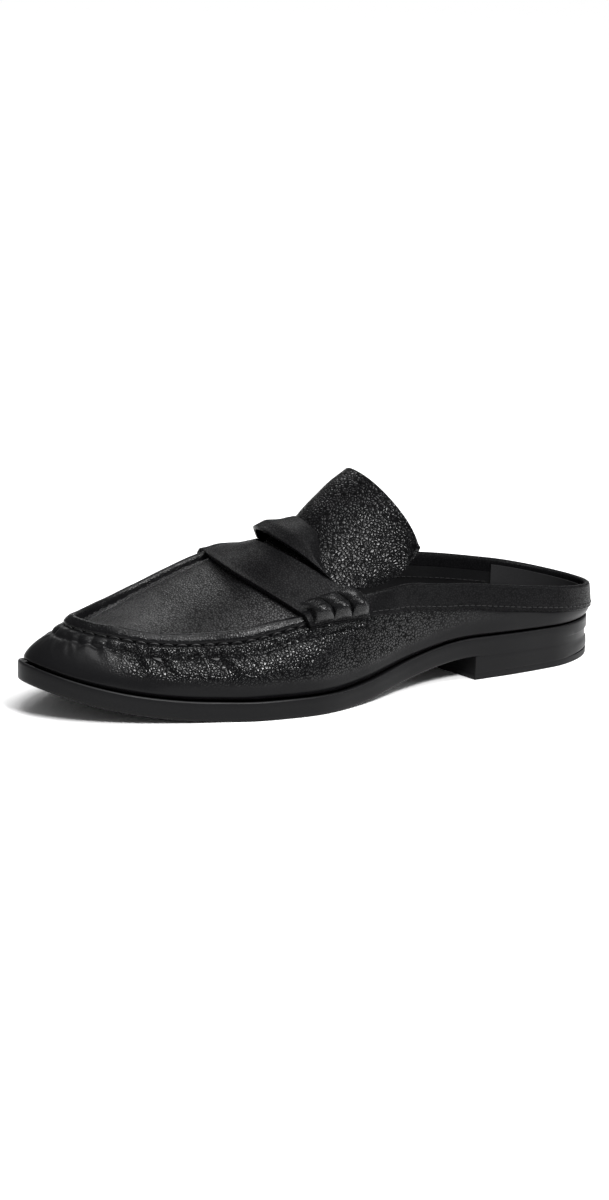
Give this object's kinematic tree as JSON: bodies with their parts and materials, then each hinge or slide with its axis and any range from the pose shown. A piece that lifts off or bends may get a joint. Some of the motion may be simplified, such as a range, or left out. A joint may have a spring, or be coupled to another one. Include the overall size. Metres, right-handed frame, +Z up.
{
  "type": "loafer mule",
  "caption": "Backless slip-on loafer with a low stacked heel, a raised moccasin seam, a slotted saddle strap with rolled ends and a tongue that flares up at the instep.",
  "frame": {"origin": "on the floor, under the middle of the shoe's bounding box", "axes": "+X to the toe, +Y to the outer side of the left foot, +Z up"},
  "size_m": [0.2696, 0.094, 0.0881],
  "materials": {
    "grained_leather": "satin pebbled grain",
    "strap_leather": "satin fine grain",
    "black_rubber": "satin",
    "lift_rubber": "matt",
    "black_lining": "smooth matt lining"
  },
  "bodies": {
    "root": {"outsole": "black_rubber", "heel": "black_rubber", "top_piece": "lift_rubber", "insole": "black_lining", "upper": "grained_leather", "tongue": "grained_leather", "saddle_strap": "strap_leather", "roll_outer": "strap_leather", "roll_inner": "strap_leather"}
  },
  "joints": []
}
